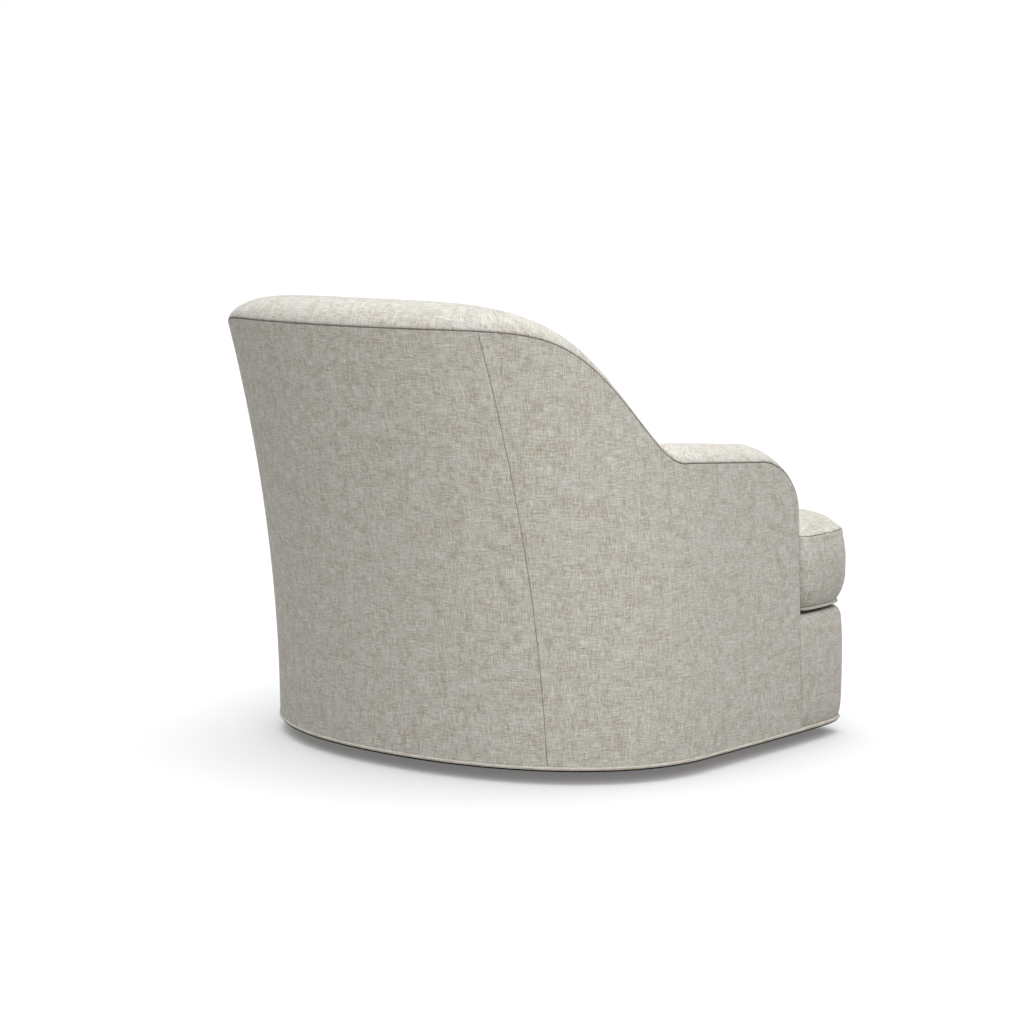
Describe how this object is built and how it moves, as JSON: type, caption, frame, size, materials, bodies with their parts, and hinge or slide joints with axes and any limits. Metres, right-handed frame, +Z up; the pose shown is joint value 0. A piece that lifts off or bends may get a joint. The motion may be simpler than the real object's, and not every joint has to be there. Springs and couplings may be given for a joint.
{
  "type": "swivel rocker",
  "caption": "Barrel-backed upholstered armchair on a swivelling, spring-centred rocker base, with rolled arms that rise into the back and a loose T-shaped seat cushion.",
  "frame": {"origin": "on the floor, under the middle of the whole chair's bounding box", "axes": "+Z up, the sitter faces -Y, +X to the sitter's left"},
  "size_m": [0.972, 0.9688, 0.8586],
  "materials": {
    "base_ring": "satin",
    "floor_glides": "matte",
    "lower_race": "satin",
    "bearing_balls": "polished",
    "king_bolt": "satin",
    "king_nut": "satin",
    "upper_race": "satin",
    "rocker_cradle": "satin",
    "pivot_bushings": "matte",
    "lower_spring_seats": "satin",
    "cradle_bolts": "satin",
    "rocker_bracket": "satin",
    "pivot_pins": "satin",
    "upper_spring_seats": "satin",
    "front_springs": "satin",
    "rear_springs": "satin",
    "bracket_bolts": "satin",
    "cross_rails": "matte",
    "corner_blocks": "matte",
    "front_rail": "matte",
    "bottom_back_rail": "matte",
    "bottom_rail_left": "matte",
    "bottom_rail_right": "matte",
    "seat_back_rail": "matte",
    "seat_rail_left": "matte",
    "seat_rail_right": "matte",
    "arm_board_left": "matte",
    "arm_board_right": "matte",
    "front_board_left": "matte",
    "front_board_right": "matte",
    "arm_rail_left": "matte",
    "arm_rail_right": "matte",
    "wing_rail_left": "matte",
    "wing_rail_right": "matte",
    "back_posts": "matte",
    "top_rail": "matte",
    "seat_springs": "satin",
    "spring_clips": "satin",
    "seat_deck": "matte",
    "dust_cover": "matte",
    "outer_back": "matte",
    "outer_arm_left": "matte",
    "outer_arm_right": "matte",
    "inner_back": "matte",
    "inner_arm_left": "matte",
    "inner_arm_right": "matte",
    "arm_front_left": "matte",
    "arm_front_right": "matte",
    "front_apron": "matte",
    "bottom_welt": "matte",
    "seat_cushion": "matte",
    "cushion_welt": "matte"
  },
  "bodies": {
    "base": {"base_ring": "base_ring", "floor_glides": "floor_glides", "lower_race": "lower_race", "bearing_balls": "bearing_balls", "king_bolt": "king_bolt", "king_nut": "king_nut"},
    "turntable": {"upper_race": "upper_race", "rocker_cradle": "rocker_cradle", "pivot_bushings": "pivot_bushings", "lower_spring_seats": "lower_spring_seats", "cradle_bolts": "cradle_bolts"},
    "seat": {"rocker_bracket": "rocker_bracket", "pivot_pins": "pivot_pins", "upper_spring_seats": "upper_spring_seats", "front_springs": "front_springs", "rear_springs": "rear_springs", "bracket_bolts": "bracket_bolts", "cross_rails": "cross_rails", "corner_blocks": "corner_blocks", "front_rail": "front_rail", "bottom_back_rail": "bottom_back_rail", "bottom_rail_left": "bottom_rail_left", "bottom_rail_right": "bottom_rail_right", "seat_back_rail": "seat_back_rail", "seat_rail_left": "seat_rail_left", "seat_rail_right": "seat_rail_right", "arm_board_left": "arm_board_left", "arm_board_right": "arm_board_right", "front_board_left": "front_board_left", "front_board_right": "front_board_right", "arm_rail_left": "arm_rail_left", "arm_rail_right": "arm_rail_right", "wing_rail_left": "wing_rail_left", "wing_rail_right": "wing_rail_right", "back_posts": "back_posts", "top_rail": "top_rail", "seat_springs": "seat_springs", "spring_clips": "spring_clips", "seat_deck": "seat_deck", "dust_cover": "dust_cover", "outer_back": "outer_back", "outer_arm_left": "outer_arm_left", "outer_arm_right": "outer_arm_right", "inner_back": "inner_back", "inner_arm_left": "inner_arm_left", "inner_arm_right": "inner_arm_right", "arm_front_left": "arm_front_left", "arm_front_right": "arm_front_right", "front_apron": "front_apron", "bottom_welt": "bottom_welt"},
    "cushion": {"seat_cushion": "seat_cushion", "cushion_welt": "cushion_welt"}
  },
  "joints": [
    {"name": "swivel", "type": "hinge", "parent": "base", "child": "turntable", "pos_m": [0, -0.0635, 0], "axis": [0, 0, 1], "continuous": true},
    {"name": "rock", "type": "hinge", "parent": "turntable", "child": "seat", "pos_m": [0, -0.0635, 0.112], "axis": [1, 0, 0], "range_deg": [-3.2, 3.2], "stiffness_Nm_per_rad": 800, "springref_deg": -0.7, "deforming": ["front_springs", "rear_springs"]},
    {"name": "cushion_lift", "type": "slide", "parent": "seat", "child": "cushion", "axis": [0, 0, 1], "range_m": [0, 0.25]}
  ]
}
